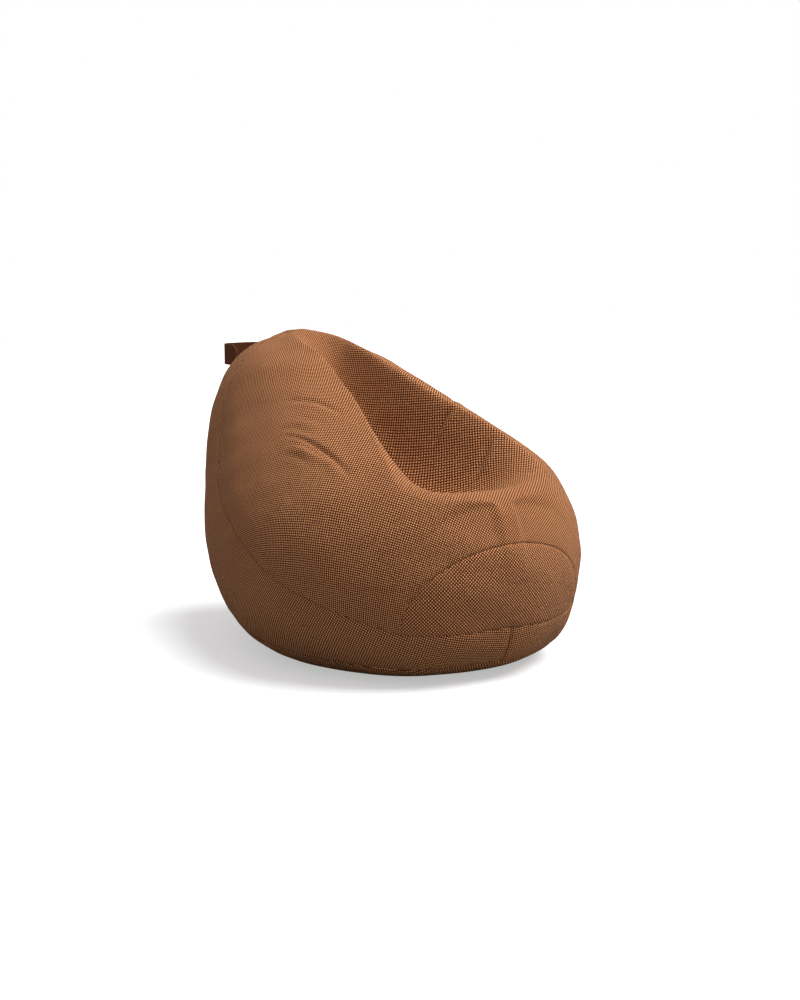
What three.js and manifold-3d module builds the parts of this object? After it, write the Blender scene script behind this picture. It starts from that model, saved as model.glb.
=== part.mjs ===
// A teardrop bean bag chair: a woven cover sewn from five panels, a lining bag with the same
// cut, a loose bead fill, a grab handle on the back and a curved zip in the rear base seam.
//
// Millimetres, +Z up. The sitter faces -Y and X = 0 is the plane of symmetry. The origin is
// on the floor under the seat. "Left" and "right" are the sitter's own, so left is +X.

import * as THREE from 'three';
import Module from 'manifold-3d';
import { mergeVertices } from 'three/addons/utils/BufferGeometryUtils.js';

const wasm = await Module();
wasm.setup();

// ---------- driving dimensions ----------

const CLOTH = 2.8;          // the woven cover, with its backing
const LINING = 1.2;         // the lining bag
const LAYER_GAP = 1.6;      // between the cover, the lining and the fill
const SEAM_GAP = 1.2;       // between two panels that meet in a seam
const TOUCH = 0.3;          // between two pieces that rest on each other

const HALF_WIDTH = 427;
const KNEE_REACH = 437;     // from the belly's centre to the front
const BACK_REACH = 556;     // from the belly's centre to the rear
const BELLY_HEIGHT = 238;   // where the bag is widest
const FLOOR_ROUND = 102;    // how widely the sides turn in to the flat base
const BASE_DROP = 92;       // how far below the turn the belly's own form would reach

const HANDLE_WIDTH = 56;
const HANDLE_THICK = 4;
const HANDLE_SPAN = 160;    // between the middles of its two sewn ends
const HANDLE_REACH = 72;    // from its sewn ends' middles to the outside of the loop
const HANDLE_HEIGHT = 664;  // where its ends are sewn to the back, above the floor

const BASE_SEAM_HEIGHT = 40;   // at the front and the sides
const ZIP_HEIGHT = 92;         // where the base seam holds the zip, at the rear
const ZIP_HALF_ANGLE = THREE.MathUtils.degToRad(33);
const ZIP_SLOT = 16;        // the opening between the two fabric edges
const TAPE_WIDTH = 14;
const TAPE_THICK = 0.9;
const COIL_WIDTH = 2.6;     // one row of teeth
const COIL_THICK = 2.2;
const SLIDER_LENGTH = 17;
const PULL_LENGTH = 26;

const X_AXIS = new THREE.Vector3(1, 0, 0);
const { degToRad, lerp, smoothstep } = THREE.MathUtils;

// ---------- the bag's form ----------

// A belly and a head that flow together. Each is an ellipsoid whose low (-X, -Y, -Z) and high
// sides may have different radii.
const BELLY = {
  centre: new THREE.Vector3(0, -30, BELLY_HEIGHT),
  low: [HALF_WIDTH, KNEE_REACH, BELLY_HEIGHT + FLOOR_ROUND + BASE_DROP],
  high: [HALF_WIDTH, BACK_REACH, 356],
  tilt: 0,
};
const HEAD = {
  centre: new THREE.Vector3(0, 357, 460),
  low: [242, 372, 276],
  high: [242, 372, 276],
  tilt: degToRad(-30),
};
const NECK_BLEND = 272;
const HEART = new THREE.Vector3(0, 50, 200);   // every point of the surface is seen from here

function ellipsoidDistance(point, { centre, low, high, tilt }) {
  const local = point.clone().sub(centre).applyAxisAngle(X_AXIS, tilt);
  const values = local.toArray();
  const radii = values.map((value, axis) => (value > 0 ? high : low)[axis]);
  const scaled = Math.hypot(...values.map((value, axis) => value / radii[axis]));
  const slope = Math.hypot(...values.map((value, axis) => value / radii[axis] ** 2));
  return scaled * (scaled - 1) / Math.max(slope, 1e-9);
}

function smoothMin(a, b, width) {
  const blend = Math.max(width - Math.abs(a - b), 0) / width;
  return Math.min(a, b) - blend * blend * width / 4;
}

function smoothMax(a, b, width) {
  return -smoothMin(-a, -b, width);
}

// Negative inside the full bag, and about the distance to its surface near that surface.
function bagDistance(point) {
  const body = smoothMin(ellipsoidDistance(point, BELLY), ellipsoidDistance(point, HEAD), NECK_BLEND);
  return smoothMax(body, -point.z, FLOOR_ROUND);
}

// The hollow the sitter has left: its half width and its depth at stations along Y.
const HOLLOW_WIDTHS = [
  [-410, 20], [-383, 126], [-354, 176], [-304, 210], [-242, 204],
  [-100, 156], [50, 110], [255, 72], [325, 70], [400, 50], [440, 20],
];
const HOLLOW_DEPTHS = [
  [-425, 0], [-370, 28], [-300, 115], [-220, 190], [-110, 228], [50, 210], [200, 138], [300, 78],
  [380, 28], [425, 0],
];
const HOLLOW_SHOULDER = 1.45;   // above 1 rounds the hollow's rim

function alongStations(stations, y) {
  const next = stations.findIndex(([station]) => station > y);
  if (next === 0) return stations[0][1];
  if (next < 0) return stations.at(-1)[1];
  const [[fromY, from], [toY, to]] = stations.slice(next - 1, next + 1);
  return lerp(from, to, (y - fromY) / (toY - fromY));
}

// A point of the full bag's surface, pushed down where the hollow is.
function pressed(point) {
  if (point.z < BELLY_HEIGHT) return point;
  const share = Math.min(Math.abs(point.x) / alongStations(HOLLOW_WIDTHS, point.y), 1);
  const depth = alongStations(HOLLOW_DEPTHS, point.y) * (1 - share ** 2) ** HOLLOW_SHOULDER;
  return point.clone().setZ(point.z - depth);
}

function outwardNormal(point) {
  const step = 0.5;
  const slopes = [0, 1, 2].map((axis) => {
    const ahead = point.clone().setComponent(axis, point.getComponent(axis) + step);
    const behind = point.clone().setComponent(axis, point.getComponent(axis) - step);
    return bagDistance(ahead) - bagDistance(behind);
  });
  return new THREE.Vector3(...slopes).normalize();
}

// The first point on a ray that lies `depth` inside the surface.
function castOut(origin, direction, depth) {
  const at = (distance) => origin.clone().addScaledVector(direction, distance);
  const stride = 12;
  let inner = 0;
  while (bagDistance(at(inner + stride)) + depth < 0) inner += stride;
  let outer = inner + stride;
  for (let pass = 0; pass < 24; pass += 1) {
    const middle = (inner + outer) / 2;
    if (bagDistance(at(middle)) + depth < 0) inner = middle;
    else outer = middle;
  }
  return at((inner + outer) / 2);
}

// A direction from the heart: azimuth 0 is the front and 90 the sitter's left, in degrees.
function heading(azimuth, elevation) {
  const turn = degToRad(azimuth);
  const rise = degToRad(elevation);
  const level = Math.cos(rise);
  return new THREE.Vector3(level * Math.sin(turn), -level * Math.cos(turn), Math.sin(rise));
}

function between(from, to, share) {
  const angle = from.angleTo(to);
  if (angle < 1e-6) return from.clone();
  const a = Math.sin((1 - share) * angle) / Math.sin(angle);
  const b = Math.sin(share * angle) / Math.sin(angle);
  return from.clone().multiplyScalar(a).addScaledVector(to, b).normalize();
}

// ---------- the seams, as directions from the heart ----------

const FOOT_AZIMUTH = 31.6;      // where the front panel's arch meets the band
const FOOT_ELEVATION = -8;
const ARCH_RISE = 22;
const CROWN = heading(180, 54); // the middle of the back panel's top edge
const CROWN_CORNER = heading(168, 51.5);

const ARCH_STEPS = 8;
const KNEE_STEPS = 5;
const SIDE_STEPS = 15;
const CROWN_STEPS = 1;

function arch() {
  return spread(ARCH_STEPS, (share) => {
    const turn = share * Math.PI / 2;
    return heading(FOOT_AZIMUTH * Math.sin(turn), FOOT_ELEVATION + ARCH_RISE * Math.cos(turn));
  });
}

function kneeSeam() {
  return spread(KNEE_STEPS, (share) => heading(FOOT_AZIMUTH * share, FOOT_ELEVATION));
}

function sideSeam() {
  const guides = [
    heading(FOOT_AZIMUTH, FOOT_ELEVATION),
    heading(60, 1),
    heading(95, 15.5),
    heading(124, 26),
    heading(146, 37.5),
    heading(160, 46.5),
    CROWN_CORNER,
  ];
  const curve = new THREE.CatmullRomCurve3(guides);
  return curve.getSpacedPoints(SIDE_STEPS).map((point) => point.normalize());
}

function crownEdge() {
  return spread(CROWN_STEPS, (share) => between(CROWN_CORNER, CROWN, share));
}

function spread(steps, make) {
  return Array.from({ length: steps + 1 }, (_, index) => make(index / steps));
}

function joined(...lines) {
  return lines.flatMap((line, index) => (index === 0 ? line : line.slice(1)));
}

const mirrored = (line) => line.map((d) => new THREE.Vector3(-d.x, d.y, d.z));
const reversed = (line) => [...line].reverse();

// A point on the base seam: low at the front and the sides, and higher where the zip is.
function baseSeamPoint(azimuth) {
  const height = lerp(BASE_SEAM_HEIGHT, ZIP_HEIGHT, smoothstep(azimuth, 60, 140));
  return castOut(new THREE.Vector3(0, HEART.y, height), heading(azimuth, 0), 0);
}

// ---------- sewn shells ----------

// The corners of one cell of a grid, starting where its diagonal does. A wrapped grid starts on
// the plane of symmetry and runs round by the left, and its left half mirrors its right half.
function cellCorners(row, column, columns, wraps) {
  const next = wraps ? (column + 1) % columns : column + 1;
  const corners = [[row, column], [row, next], [row + 1, next], [row + 1, column]];
  return wraps && column < columns / 2 ? [...corners.slice(1), corners[0]] : corners;
}

// Makes a closed skin between two depths from a grid of directions. A pole is a first row that
// is all one direction. A wrapped grid joins its last column to its first.
function skin(grid, outerDepth, innerDepth, { pole = false, wraps = false, place = (p) => p } = {}) {
  const positions = [];
  const indices = [];
  const rows = grid.length;
  const columns = grid[0].length;
  const layer = (depth) => grid.map((row, r) => {
    const kept = pole && r === 0 ? [row[0]] : row;
    const ids = kept.map((direction) => {
      positions.push(...place(pressed(castOut(HEART, direction, depth))).toArray());
      return positions.length / 3 - 1;
    });
    return (column) => ids[pole && r === 0 ? 0 : column % columns];
  });
  const outer = layer(outerDepth);
  const inner = layer(innerDepth);
  const face = (a, b, c, d) => {
    [[a, b, c], [a, c, d]].filter((ids) => new Set(ids).size === 3).forEach((ids) => indices.push(...ids));
  };
  const spans = wraps ? columns : columns - 1;
  for (let r = 0; r < rows - 1; r += 1) {
    for (let c = 0; c < spans; c += 1) {
      const [from, ...rest] = cellCorners(r, c, columns, wraps);
      const ids = (ring, list) => list.map(([row, column]) => ring[row](column));
      face(...ids(outer, [from, ...rest]));
      face(...ids(inner, [from, ...reversed(rest)]));
    }
  }
  for (let c = 0; c < spans; c += 1) {
    const last = rows - 1;
    face(outer[last](c), outer[last](c + 1), inner[last](c + 1), inner[last](c));
    if (!pole) face(outer[0](c + 1), outer[0](c), inner[0](c), inner[0](c + 1));
  }
  for (let r = 0; r < rows - 1 && !wraps; r += 1) {
    const last = columns - 1;
    face(outer[r](0), outer[r + 1](0), inner[r + 1](0), inner[r](0));
    face(outer[r + 1](last), outer[r](last), inner[r](last), inner[r + 1](last));
  }
  return faced(positions, indices);
}

// A geometry whose faces point out, from a consistently wound closed mesh.
function faced(positions, indices) {
  const geometry = new THREE.BufferGeometry();
  geometry.setAttribute('position', new THREE.Float32BufferAttribute(positions, 3));
  const corner = (id) => new THREE.Vector3().fromArray(positions, 3 * id);
  let volume = 0;
  for (let i = 0; i < indices.length; i += 3) {
    const [a, b, c] = indices.slice(i, i + 3).map(corner);
    volume += a.dot(b.cross(c)) / 6;
  }
  geometry.setIndex(volume < 0 ? reversed(indices) : indices);
  return geometry;
}

// ---------- the five panels of the cut, shared by the cover and the lining ----------

const SEAM_TRIM = SEAM_GAP / 2 / HALF_WIDTH;
const SEAT_MIDDLE = heading(0, 82);
const FRONT_MIDDLE = heading(0, 2);
const BASE_MIDDLE = new THREE.Vector3(0, -0.15, -1).normalize();
const MAIN_RINGS = 11;
const FRONT_RINGS = 4;
const BASE_RINGS = 6;
const BAND_ROWS = 11;
const EDGE_CROWDING = 1.3;      // rings and rows are finer beside the base seam

const bandTop = joined(kneeSeam(), sideSeam(), crownEdge());
const baseRing = spread(bandTop.length - 1, (share) => (
  baseSeamPoint(180 * share).sub(HEART).normalize()));

// Rings of directions that grow from a panel's middle to its edge, trimmed back for the seam.
// A crowding above 1 draws the rings towards the edge.
function fan(middle, edge, rings, trim, crowding = 1) {
  return spread(rings, (share) => edge.map((direction, column) => {
    const angle = middle.angleTo(direction);
    const growth = 1 - (1 - share) ** crowding;
    return between(middle, direction, growth * (1 - trim(column) / angle));
  }));
}

const evenTrim = () => SEAM_TRIM;
const noTrim = () => 0;

function mainGrid(trim) {
  const half = joined(reversed(crownEdge()), reversed(sideSeam()), reversed(arch()));
  const loop = joined(half, reversed(mirrored(half))).slice(0, -1);
  return fan(SEAT_MIDDLE, loop, MAIN_RINGS, trim);
}

function frontGrid(trim) {
  const half = joined(arch(), reversed(kneeSeam()));
  const loop = joined(half, reversed(mirrored(half))).slice(0, -1);
  return fan(FRONT_MIDDLE, loop, FRONT_RINGS, trim);
}

function baseGrid(trim) {
  const loop = joined(baseRing, reversed(mirrored(baseRing))).slice(0, -1);
  return fan(BASE_MIDDLE, loop, BASE_RINGS, trim, EDGE_CROWDING);
}

function bandGrid(side, lowTrim, highTrim) {
  const grid = spread(BAND_ROWS, (share) => baseRing.map((from, column) => {
    const to = bandTop[column];
    const angle = from.angleTo(to);
    const growth = share ** EDGE_CROWDING;
    return between(from, to, lerp(lowTrim(column) / angle, 1 - highTrim / angle, growth));
  }));
  return side > 0 ? grid : grid.map(mirrored);
}

// The base seam opens into the zip's slot over the last columns, at the rear.
const SLOT_COLUMNS = 4;
const SLOT_TRIM = ZIP_SLOT / 2 / baseSeamPoint(180).distanceTo(HEART);
const slotTrim = (column) => (column > baseRing.length - 1 - SLOT_COLUMNS ? SLOT_TRIM : SEAM_TRIM);

function bandSkin(side, lowTrim, outerDepth, innerDepth) {
  const place = (point) => point.setX(side * Math.max(side * point.x, SEAM_GAP / 2));
  return skin(bandGrid(side, lowTrim, SEAM_TRIM), outerDepth, innerDepth, { place });
}

// The whole bag's form at one depth, closed: each face is turned away from the heart.
function closedForm(depth) {
  const positions = [];
  const addFace = (...points) => {
    const edges = [points[1].clone().sub(points[0]), points[2].clone().sub(points[0])];
    const normal = edges[0].cross(edges[1]);
    if (normal.length() < 1e-3) return;
    const outward = points[0].clone().sub(HEART).dot(normal) > 0;
    (outward ? points : reversed(points)).forEach((point) => positions.push(...point.toArray()));
  };
  const addGrid = (grid, wraps) => {
    const columns = grid[0].length;
    for (let r = 0; r < grid.length - 1; r += 1) {
      for (let c = 0; c < (wraps ? columns : columns - 1); c += 1) {
        const [first, second, third, fourth] = cellCorners(r, c, columns, wraps)
          .map(([row, column]) => pressed(castOut(HEART, grid[row][column], depth)));
        addFace(first, second, third);
        addFace(first, third, fourth);
      }
    }
  };
  addGrid(mainGrid(noTrim), true);
  addGrid(frontGrid(noTrim), true);
  addGrid(baseGrid(noTrim), true);
  addGrid(bandGrid(1, noTrim, 0), false);
  addGrid(bandGrid(-1, noTrim, 0), false);
  const geometry = new THREE.BufferGeometry();
  geometry.setAttribute('position', new THREE.Float32BufferAttribute(positions, 3));
  return mergeVertices(geometry, 0.01);
}

// ---------- booleans ----------

function toManifold(geometry) {
  const bare = geometry.clone();
  bare.deleteAttribute('normal');
  bare.deleteAttribute('uv');
  const merged = mergeVertices(bare, 1e-3);
  return new wasm.Manifold(new wasm.Mesh({
    numProp: 3,
    vertProperties: merged.attributes.position.array,
    triVerts: Uint32Array.from(merged.index.array),
  }));
}

function toGeometry(solid) {
  const mesh = solid.getMesh();
  const geometry = new THREE.BufferGeometry();
  geometry.setAttribute('position', new THREE.BufferAttribute(mesh.vertProperties, 3));
  geometry.setIndex(new THREE.BufferAttribute(mesh.triVerts, 1));
  return geometry;
}

function merged(...geometries) {
  return toGeometry(geometries.map(toManifold).reduce((sum, next) => sum.add(next)));
}

// ---------- the grab handle ----------

const PATCH_THICK = 2.2;
const STRAP_GAP = 1.6;          // lets the strap swing clear of its curved patches
const PATCH_WIDTH = 46;
const PATCH_HEIGHT = 62;
const ARCH_STATIONS = 14;
const END_STATIONS = 5;
const LOOP_SQUARENESS = 0.55;   // 1 would be an oval loop, 0 a box

const handleSide = new THREE.Vector3(HANDLE_SPAN / 2, HEAD.centre.y, HANDLE_HEIGHT);
const handleEnd = castOut(handleSide, heading(180, 0), 0);
const handleNormal = outwardNormal(handleEnd).setX(0).normalize();
const handlePivot = handleEnd.clone()
  .addScaledVector(handleNormal, TOUCH + PATCH_THICK + STRAP_GAP + HANDLE_WIDTH / 2);

// A flat strap lofted along stations, each with a middle, a thickness direction and a half width.
function strap(stations, thickness) {
  const positions = [];
  const indices = [];
  stations.forEach(({ middle, through, half }) => {
    [[-1, -1], [1, -1], [1, 1], [-1, 1]].forEach(([side, level]) => {
      const corner = middle.clone().addScaledVector(through, side * thickness / 2);
      corner.z += level * half;
      positions.push(...corner.toArray());
    });
  });
  const quad = (a, b, c, d) => indices.push(a, b, c, a, c, d);
  for (let s = 0; s < stations.length - 1; s += 1) {
    for (let k = 0; k < 4; k += 1) {
      const next = (k + 1) % 4;
      quad(4 * s + k, 4 * s + next, 4 * s + 4 + next, 4 * s + 4 + k);
    }
  }
  const end = 4 * (stations.length - 1);
  quad(3, 2, 1, 0);
  quad(end, end + 1, end + 2, end + 3);
  return faced(positions, indices);
}

// The strap runs straight out of each patch on a round end, then arches across.
function handleStrap() {
  const radius = HANDLE_WIDTH / 2;
  const halfSpan = HANDLE_SPAN / 2;
  const round = spread(END_STATIONS, (share) => {
    const turn = lerp(0.12, 1, share) * Math.PI / 2;
    return {
      middle: new THREE.Vector3(halfSpan, handlePivot.y - radius * Math.cos(turn), handlePivot.z),
      through: new THREE.Vector3(1, 0, 0),
      half: radius * Math.sin(turn),
    };
  });
  const across = spread(ARCH_STATIONS, (share) => {
    const out = Math.sin(share * Math.PI);
    const side = Math.cos(share * Math.PI);
    const bulge = (value, power) => Math.sign(value) * Math.abs(value) ** power;
    return {
      middle: new THREE.Vector3(
        halfSpan * bulge(side, LOOP_SQUARENESS),
        handlePivot.y + HANDLE_REACH * bulge(out, LOOP_SQUARENESS),
        handlePivot.z,
      ),
      through: new THREE.Vector3(
        bulge(side, 2 - LOOP_SQUARENESS) / halfSpan,
        bulge(out, 2 - LOOP_SQUARENESS) / HANDLE_REACH,
        0,
      ).normalize(),
      half: radius,
    };
  });
  const flipped = reversed(round).map(({ middle, half }) => ({
    middle: middle.clone().setX(-middle.x),
    through: new THREE.Vector3(-1, 0, 0),
    half,
  }));
  return strap(joined(round, across, flipped), HANDLE_THICK);
}

// A sewn patch that lies on the cover behind one end of the strap.
function handlePatch(side) {
  const across = new THREE.Vector3(1, 0, 0);
  const along = handleNormal.clone().cross(across).normalize();
  const middle = handleEnd.clone().setX(side * handleEnd.x);
  const grid = spread(4, (rise) => spread(3, (shift) => middle.clone()
    .addScaledVector(along, (rise - 0.5) * PATCH_HEIGHT)
    .addScaledVector(across, (shift - 0.5) * PATCH_WIDTH)
    .sub(HEART).normalize()));
  return skin(grid, -TOUCH - PATCH_THICK, -TOUCH);
}

// ---------- the zip in the rear base seam ----------

// The zip follows the circle through three points of the seam: its middle and its two ends.
const zipMiddle = baseSeamPoint(180);
const zipCorner = baseSeamPoint(156);
const zipSagitta = zipMiddle.y - zipCorner.y;
const ZIP_RADIUS = (zipCorner.x ** 2 + zipSagitta ** 2) / (2 * zipSagitta);
const ZIP_CENTRE_Y = zipMiddle.y - ZIP_RADIUS;
const zipNormal = outwardNormal(zipMiddle);

// Sweeps an outline about the zip's upright axis. The outline is in (up, out): up the slope of
// the fabric from the zip's line, and out from the cover's surface. Angle 0 is the rear.
function zipSweep(outline, from, to, steps) {
  const positions = [];
  const indices = [];
  const count = outline.length;
  spread(steps, (share) => {
    const angle = lerp(from, to, share);
    outline.forEach(([up, out]) => {
      const radius = ZIP_RADIUS - up * zipNormal.z + out * zipNormal.y;
      const height = ZIP_HEIGHT + up * zipNormal.y + out * zipNormal.z;
      positions.push(radius * Math.sin(angle), ZIP_CENTRE_Y + radius * Math.cos(angle), height);
    });
  });
  for (let s = 0; s < steps; s += 1) {
    for (let k = 0; k < count; k += 1) {
      const a = s * count + k;
      const b = s * count + (k + 1) % count;
      indices.push(a, b, b + count, a, b + count, a + count);
    }
  }
  const caps = THREE.ShapeUtils.triangulateShape(outline.map(([x, y]) => new THREE.Vector2(x, y)), []);
  const last = steps * count;
  caps.forEach(([a, b, c]) => indices.push(c, b, a, last + a, last + b, last + c));
  return faced(positions, indices);
}

function block(low, high, bottom, top) {
  return [[low, bottom], [high, bottom], [high, top], [low, top]];
}

const TAPE_TOP = -CLOTH - 4.4;
const COIL_TOP = TAPE_TOP + TOUCH + COIL_THICK;
const COIL_GAP = 0.15;
const PLATE_BOTTOM = COIL_TOP + TOUCH;
const PLATE_TOP = PLATE_BOTTOM + 1.8;
const SLIDER_HALF_WIDTH = 4.6;
const FLANGE = 1.2;
const LUG_HEIGHT = 5;
const LUG_GAP = 5;
const PIN_RADIUS = 0.9;
const ZIP_STEPS = 24;
const COIL_HALF_ANGLE = ZIP_HALF_ANGLE - degToRad(1.4);
const STOP_ANGLE = degToRad(1.1);
const REST_ANGLE = -(COIL_HALF_ANGLE - STOP_ANGLE - degToRad(0.4) - SLIDER_LENGTH / 2 / ZIP_RADIUS);

function zipTape(side) {
  const edges = [side * 0.6, side * (0.6 + TAPE_WIDTH)].sort((a, b) => a - b);
  return zipSweep(block(...edges, TAPE_TOP - TAPE_THICK, TAPE_TOP), -ZIP_HALF_ANGLE, ZIP_HALF_ANGLE, ZIP_STEPS);
}

function zipCoil(side) {
  const edges = [side * COIL_GAP, side * (COIL_GAP + COIL_WIDTH)].sort((a, b) => a - b);
  const bottom = TAPE_TOP + TOUCH;
  return zipSweep(block(...edges, bottom, COIL_TOP), -COIL_HALF_ANGLE, COIL_HALF_ANGLE, ZIP_STEPS);
}

function zipStop(side) {
  const half = COIL_GAP + COIL_WIDTH + 0.4;
  const outer = side * COIL_HALF_ANGLE;
  const inner = side * (COIL_HALF_ANGLE - STOP_ANGLE);
  return zipSweep(block(-half, half, PLATE_BOTTOM, PLATE_BOTTOM + 1.2), inner, outer, 1);
}

// A point in the zip's (along, up, out) directions at an angle round its circle.
function zipFrame(angle) {
  const outward = new THREE.Vector3(
    zipNormal.y * Math.sin(angle),
    zipNormal.y * Math.cos(angle),
    zipNormal.z,
  );
  const along = new THREE.Vector3(Math.cos(angle), -Math.sin(angle), 0);
  const up = outward.clone().cross(along).normalize();
  const place = new THREE.Vector3(
    ZIP_RADIUS * Math.sin(angle),
    ZIP_CENTRE_Y + ZIP_RADIUS * Math.cos(angle),
    ZIP_HEIGHT,
  );
  return { along, up, outward, place };
}

const restFrame = zipFrame(REST_ANGLE);
const pullPivot = restFrame.place.clone().addScaledVector(restFrame.outward, PLATE_TOP + LUG_HEIGHT - 1.4);

function placed(geometry, { along, up, outward }, origin) {
  const basis = new THREE.Matrix4().makeBasis(along, up, outward).setPosition(origin);
  return geometry.applyMatrix4(basis);
}

// A plate over the teeth with a flange down each side, and a pin between two lugs for the pull.
function zipSlider() {
  const half = SLIDER_HALF_WIDTH;
  const outline = [
    [-half, TAPE_TOP + TOUCH], [-half + FLANGE, TAPE_TOP + TOUCH],
    [-half + FLANGE, PLATE_BOTTOM], [half - FLANGE, PLATE_BOTTOM],
    [half - FLANGE, TAPE_TOP + TOUCH], [half, TAPE_TOP + TOUCH],
    [half, PLATE_TOP], [-half, PLATE_TOP],
  ];
  const reach = SLIDER_LENGTH / 2 / ZIP_RADIUS;
  const plate = zipSweep(outline, REST_ANGLE - reach, REST_ANGLE + reach, 2);
  const lugs = [-1, 1].map((side) => {
    const lug = new THREE.BoxGeometry(1.6, 3.2, LUG_HEIGHT + 0.6);
    lug.translate(side * (LUG_GAP / 2 + 0.8), 0, PLATE_TOP - 0.6 + (LUG_HEIGHT + 0.6) / 2);
    return placed(lug, restFrame, restFrame.place);
  });
  const pin = new THREE.CylinderGeometry(PIN_RADIUS, PIN_RADIUS, LUG_GAP + 1.6, 12).rotateZ(Math.PI / 2);
  return merged(plate, ...lugs, placed(pin, restFrame, pullPivot));
}

// A flat tab that hangs from the slider's pin by an eye.
function zipPull() {
  const width = LUG_GAP - 2 * TOUCH;
  const outline = new THREE.Shape();
  const eye = PIN_RADIUS + 0.35 + 1.1;
  outline.absarc(0, 0, eye, degToRad(-35), degToRad(215), false);
  outline.lineTo(-1.1, -eye * 2);
  outline.lineTo(-0.9, -PULL_LENGTH);
  outline.lineTo(0.9, -PULL_LENGTH);
  outline.lineTo(1.1, -eye * 2);
  const hole = new THREE.Path();
  hole.absarc(0, 0, PIN_RADIUS + 0.35, 0, 2 * Math.PI, true);
  outline.holes.push(hole);
  const tab = new THREE.ExtrudeGeometry(outline, { depth: width, bevelEnabled: false, curveSegments: 7 });
  tab.translate(0, 0, -width / 2);
  const hanging = {
    along: restFrame.along.clone().cross(new THREE.Vector3(0, 0, 1)).negate(),
    up: new THREE.Vector3(0, 0, 1),
    outward: restFrame.along.clone(),
  };
  return toGeometry(toManifold(placed(tab, hanging, pullPivot)));
}

// ---------- the care label, blank, in the base seam beside the zip ----------

const LABEL_WIDTH = 32;
const LABEL_DROP = 26;
const LABEL_THICK = 0.8;
const LABEL_AZIMUTH = 128;

// It comes out of the seam and droops.
function careLabel() {
  const seam = baseSeamPoint(LABEL_AZIMUTH);
  const outward = outwardNormal(seam);
  const along = new THREE.Vector3(0, 0, 1).cross(outward).normalize();
  const droop = outward.clone().add(new THREE.Vector3(0, 0, -0.6)).normalize();
  const frame = { along, up: droop.clone().cross(along), outward: droop };
  const tag = new THREE.BoxGeometry(LABEL_WIDTH, LABEL_THICK, LABEL_DROP);
  tag.translate(0, 0, 3 * TOUCH + LABEL_DROP / 2);
  return placed(tag, frame, seam);
}

// ---------- materials and assembly ----------

function matte(color, roughness = 0.95) {
  return new THREE.MeshStandardMaterial({ color, roughness, metalness: 0 });
}

const weave = () => matte(0x7c4f36);
const webbing = () => matte(0x5c3423);
const lining = () => matte(0xe6e1d6, 0.9);
const beads = () => matte(0xf3f2ee, 0.8);
const tapeCloth = () => matte(0x4d2d1f);
const nylon = () => matte(0x4a2b1d, 0.5);
const steel = () => new THREE.MeshStandardMaterial({ color: 0x8d867c, roughness: 0.35, metalness: 1 });

const group = new THREE.Group();

function add(name, geometry, material) {
  const mesh = new THREE.Mesh(geometry, material);
  mesh.name = name;
  group.add(mesh);
}

function addShells(prefix, outerDepth, innerDepth, lowTrim, material) {
  const ring = baseRing.length - 1;
  const folded = (column) => lowTrim(column <= ring ? column : 2 * ring - column);
  const round = { pole: true, wraps: true };
  add(`${prefix}_main_panel`, skin(mainGrid(evenTrim), outerDepth, innerDepth, round), material());
  add(`${prefix}_front_panel`, skin(frontGrid(evenTrim), outerDepth, innerDepth, round), material());
  add(`${prefix}_band_left`, bandSkin(1, lowTrim, outerDepth, innerDepth), material());
  add(`${prefix}_band_right`, bandSkin(-1, lowTrim, outerDepth, innerDepth), material());
  add(`${prefix}_base_panel`, skin(baseGrid(folded), outerDepth, innerDepth, round), material());
}

const LINING_DEPTH = CLOTH + 5;
const FILL_DEPTH = LINING_DEPTH + LINING + LAYER_GAP;

addShells('cover', 0, CLOTH, slotTrim, weave);
addShells('lining', LINING_DEPTH, LINING_DEPTH + LINING, evenTrim, lining);
add('bead_fill', closedForm(FILL_DEPTH), beads());

add('handle_strap', handleStrap(), webbing());
add('handle_patch_left', handlePatch(1), webbing());
add('handle_patch_right', handlePatch(-1), webbing());

add('zip_tape_upper', zipTape(1), tapeCloth());
add('zip_tape_lower', zipTape(-1), tapeCloth());
add('zip_teeth_upper', zipCoil(1), nylon());
add('zip_teeth_lower', zipCoil(-1), nylon());
add('zip_stop_closed_end', zipStop(-1), steel());
add('zip_stop_open_end', zipStop(1), steel());
add('zip_slider', zipSlider(), steel());
add('zip_pull', zipPull(), steel());
add('care_label', careLabel(), lining());

export default group;
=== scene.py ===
"""A teardrop bean bag chair: the sewn cover with its seams, folds and weave, on the CAD frame.

Metres, +Z up. The sitter faces -Y, the sitter's left is +X, and X = 0 is the plane of symmetry.
"""

import math

import bpy
import numpy as np
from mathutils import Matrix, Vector, kdtree


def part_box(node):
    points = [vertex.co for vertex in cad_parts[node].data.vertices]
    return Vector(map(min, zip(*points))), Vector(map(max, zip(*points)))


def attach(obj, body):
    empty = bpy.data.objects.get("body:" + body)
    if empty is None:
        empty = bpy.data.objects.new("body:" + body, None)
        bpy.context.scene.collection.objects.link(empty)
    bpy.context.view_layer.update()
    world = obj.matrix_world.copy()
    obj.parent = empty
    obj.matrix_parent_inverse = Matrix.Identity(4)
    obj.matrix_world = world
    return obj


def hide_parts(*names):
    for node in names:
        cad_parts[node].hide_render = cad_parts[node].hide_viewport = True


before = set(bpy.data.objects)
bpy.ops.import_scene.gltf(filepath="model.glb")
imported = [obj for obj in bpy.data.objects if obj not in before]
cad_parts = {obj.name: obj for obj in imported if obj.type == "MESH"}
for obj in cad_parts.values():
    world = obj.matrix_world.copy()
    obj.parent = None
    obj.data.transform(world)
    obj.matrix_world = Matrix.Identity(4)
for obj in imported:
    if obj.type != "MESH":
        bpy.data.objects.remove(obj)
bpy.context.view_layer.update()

# ---------- driving sizes ----------

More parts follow.
